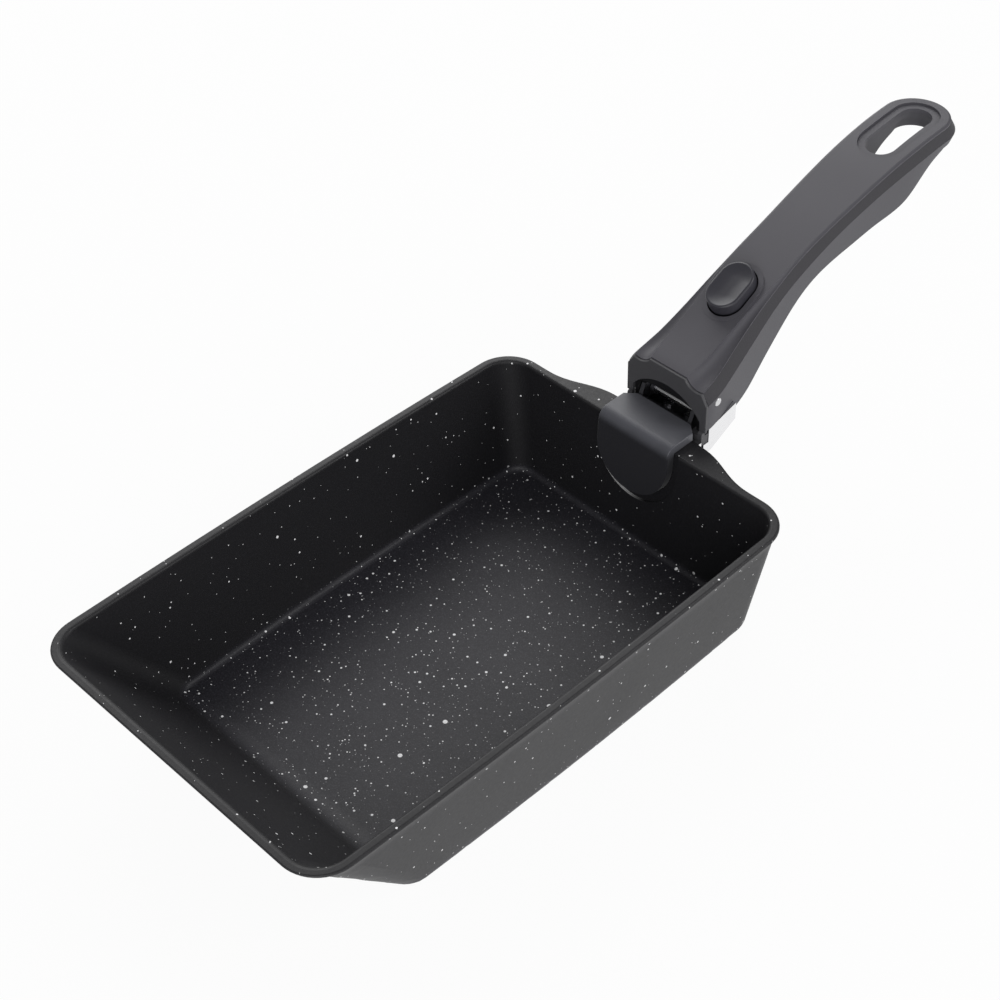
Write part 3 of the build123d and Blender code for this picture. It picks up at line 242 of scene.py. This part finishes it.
def flecks(finish, crowd, radius, shift):
    """Mask of round flecks, with crowd of them on a square metre, cut from balls strewn through space."""
    spacing = (1.5 * radius / crowd) ** (1 / 3)
    aside = {"Vector": finish.where, "Location": (shift, shift, shift)}
    moved = finish.node("ShaderNodeMapping", {}, aside)
    cell = {"Vector": moved, "Scale": 1 / spacing}
    distance = finish.node("ShaderNodeTexVoronoi", {}, cell, out="Distance")
    colour = finish.node("ShaderNodeTexVoronoi", {}, cell, out="Color")
    size = finish.node("ShaderNodeSeparateXYZ", {}, {0: colour})
    reach = radius / spacing * (0.5 + size * 0.5)
    return (reach - distance).step(0.0, 0.1 * radius / spacing)


def strewn(finish, layers, shift):
    """Several sizes of flecks together, from rows of crowd, radius and brightness."""
    total = None
    for number, (crowd, radius, bright) in enumerate(layers):
        layer = flecks(finish, crowd, radius, shift + 0.37 * number) * bright
        total = layer if total is None else total.most(layer)
    return total


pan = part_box("pan_body")
corner_end, corner_start = 0.0068, 0.0040
under_floor, floor_top = 0.0028, 0.0032
on_floor = coating.z.step(corner_end, corner_start) * coating.z.step(under_floor, floor_top)
floor_layers = [(1300, 0.00085, 1), (9000, 0.00050, 1), (45000, 0.00030, 1), (90000, 0.00018, 0.5)]
wall_layers = [(900, 0.00065, 1), (4500, 0.00042, 1), (14000, 0.00024, 0.7)]
floor_flecks = strewn(coating, floor_layers, 0.4)
wall_flecks = strewn(coating, wall_layers, 2.3)
flecks_and_painted_highlight = on_floor * floor_flecks + (1 - on_floor) * wall_flecks
clouds = coating.noise(35, 3.0)
# Painted light: the floor's colour is lighter and bluer than the walls', which are painted darker as painted
# shade.
ground = coating.mix(on_floor, (0.0125, 0.0120, 0.0145), (0.0240, 0.0230, 0.0310))
ground = coating.mix(clouds * 0.5, ground, (0.0090, 0.0090, 0.0100))
grit = coating.noise(2200, 2.0).step(0.50, 0.66) * (0.12 + on_floor * 0.5)
ground = coating.mix(grit, ground, (0.055, 0.054, 0.066))
seat_middle, seat_radius = 0.0394, 0.0179
line_outside, line_inside = 0.00034, 0.00012
fall = (coating.z - seat_middle).least(0.0)
from_middle = (coating.x * coating.x + fall * fall).power(0.5)
ring = (from_middle - seat_radius).size().step(line_outside, line_inside)
on_wall = coating.y.step(0.0740, 0.0760) * coating.y.step(0.0835, 0.0825)
# The pale arc is a painted highlight along the jaw's seat, brighter on the -x side, and joins the flecks'
# mask.
painted_seat_highlight = ring * on_wall * coating.x.step(0.006, -0.006)
painted_seat_highlight = painted_seat_highlight * coating.z.step(0.0420, 0.0380) * (0.35 + coating.noise(900, 2.0) * 0.9)
flecks_and_painted_highlight = flecks_and_painted_highlight.most(painted_seat_highlight * 0.5)
# The flecks and the painted highlight glow faintly through the emission: a painted glow.
fleck_colour, painted_fleck_glow = (0.94, 0.94, 0.95), 0.12
coating.set(Base_Color=coating.mix(flecks_and_painted_highlight, ground, fleck_colour))
coating.set(Emission_Color=coating.mix(flecks_and_painted_highlight, (0, 0, 0), (1, 1, 1)), Emission_Strength=painted_fleck_glow)
coating.set(Roughness=0.44 + coating.noise(900, 2.0) * 0.12 + clouds * 0.06)
coating.bump(coating.noise(1600, 3.0) + flecks_and_painted_highlight * 0.5, 0.35, 0.00008)
wear(coating, "pan_body")
print("pan height", round(pan[1][2], 4))

# %% [markdown]
# The handle's cover is a mid-grey plastic with a soft satin face. Moulded plastic is never one flat tone:
# a fine spark-eroded grain scatters the light and the gloss drifts a little over the length.

# %% Plastics
def moulded(name, colour, roughness, grain, depth):
    finish = Finish(name, Roughness=roughness)
    drift = finish.noise(22, 2.0)
    fine = finish.noise(grain, 3.0)
    finish.set(Base_Color=finish.mix(drift * 0.35 + fine * 0.2, colour, tuple(c * 0.8 for c in colour)))
    finish.set(Roughness=roughness + fine * 0.1 + drift * 0.05)
    finish.bump(fine, 0.4, depth)
    return finish


cover_plastic = moulded("satin_grey_plastic", (0.100, 0.097, 0.112), 0.46, 2600, 0.00006)
band_plastic = moulded("grained_band_plastic", (0.050, 0.048, 0.055), 0.55, 1700, 0.00014)
shell_plastic = moulded("underside_plastic", (0.094, 0.092, 0.104), 0.48, 1900, 0.0001)
bezel_plastic = moulded("nose_plastic", (0.080, 0.079, 0.086), 0.42, 3000, 0.00003)
wear(cover_plastic, "handle_cover")
wear(band_plastic, "grip_band")
wear(shell_plastic, "handle_shell", "lever_grip")
wear(bezel_plastic, "front_bezel")

# The mouth's liner is painted near black: painted shade inside the handle's mouth.
liner_plastic = moulded("mouth_plastic", (0.008, 0.008, 0.009), 0.22, 2800, 0.00002)
button_plastic = moulded("button_plastic", (0.040, 0.040, 0.050), 0.30, 3000, 0.00002)
wear(liner_plastic, "mouth_liner")
# The button's sides are painted near black and its top grey: painted shade on the sides.
pitch = math.radians(25)
side_depth, top_depth = 0.0022, 0.0014
outward = button_plastic.z * math.cos(pitch) - button_plastic.y * math.sin(pitch)
button_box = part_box("release_button")
crown = button_box[1][2] * math.cos(pitch) - button_box[1][1] * math.sin(pitch)
unshaded_top = outward.step(crown - side_depth, crown - top_depth)
button_plastic.set(Base_Color=button_plastic.mix(unshaded_top, (0.004, 0.004, 0.005), (0.044, 0.043, 0.054)))
wear(button_plastic, "release_button")
print("materials so far", len(bpy.data.materials))

# %% [markdown]
# The jaw's cover and the pad outside the rim are black silicone, which keeps the coating from being
# scratched. Their upper part is painted paler, a painted sheen where the light falls on them from above.

# %% Silicone
sheen_start, sheen_end = 0.0470, 0.0508
silicone = moulded("black_silicone", (0.020, 0.020, 0.025), 0.36, 900, 0.00004)
# Painted sheen: the silicone is painted paler towards its top.
painted = silicone.z.step(sheen_start, sheen_end) * (0.75 + silicone.noise(120, 2.0) * 0.5)
silicone.set(Base_Color=silicone.mix(painted.least(1.0), (0.020, 0.020, 0.025), (0.088, 0.090, 0.106)))
silicone.set(Sheen_Weight=0.15)
wear(silicone, "jaw_cover", "outer_pad")
print("silicone is rubbed paler above", sheen_start)

# %% [markdown]
# Sheet steel shows the direction in which it was rolled: long fine lines, made by stretching noise along
# one axis. The shoe under the handle's nose is polished almost white.

# %% Metals
def metal(name, colour, roughness, stretch, depth):
    finish = Finish(name, Metallic=1.0, Roughness=roughness)
    lines = finish.noise(900, 3.0, stretch)
    marks = finish.noise(60, 2.0)
    finish.set(Base_Color=finish.mix(marks * 0.3, colour, tuple(c * 0.82 for c in colour)))
    finish.set(Roughness=roughness + lines * 0.12 + marks * 0.06)
    finish.bump(lines, 0.3, depth)
    return finish


polished = metal("polished_steel", (0.86, 0.86, 0.87), 0.10, (0.08, 1, 1), 0.00002)
# The sheet steel inside the handle is painted dark: painted shade in the handle's mouth.
sheet_steel = metal("steel_painted_dark_as_shade", (0.10, 0.10, 0.11), 0.34, (1, 0.08, 1), 0.00004)
pin_steel = metal("turned_steel", (0.68, 0.68, 0.69), 0.18, (0.1, 1, 1), 0.00002)
spring_steel = metal("drawn_wire", (0.45, 0.45, 0.46), 0.3, (1, 1, 0.1), 0.00002)
wear(polished, "flame_guard", "guard_rivets")
wear(sheet_steel, "clamp_jaw", "chassis", "lever_bracket")
wear(pin_steel, "pivot_pin", "guide_pin", "crank_pin", "lever_screws", "latch_screw", "shell_screws")
wear(spring_steel, "latch_leaf", "lever_spring", "button_spring")
print("materials so far", len(bpy.data.materials))

# %% [markdown]
# The plate in the pan's underside lets the pan heat on an induction hob. It is turned, so its fine lines
# are rings.

# %% Base plate
base_steel = Finish("turned_base_steel", Metallic=1.0)
fine_turns, coarse_turns = 5200, 640
radius = (base_steel.x * base_steel.x + base_steel.y * base_steel.y).power(0.5)
rings = (radius * fine_turns).wave()
coarse = (radius * coarse_turns).wave()
stain = base_steel.noise(45, 3.0)
base_steel.set(Base_Color=base_steel.mix(stain * 0.4, (0.6, 0.6, 0.6), (0.45, 0.44, 0.43)))
base_steel.set(Roughness=0.3 + rings * 0.05 + stain * 0.1)
base_steel.bump(rings * 0.4 + coarse, 0.5, 0.00006)
wear(base_steel, "induction_plate")
print("fine rings are", round(2000 * math.pi / fine_turns, 2), "mm apart")
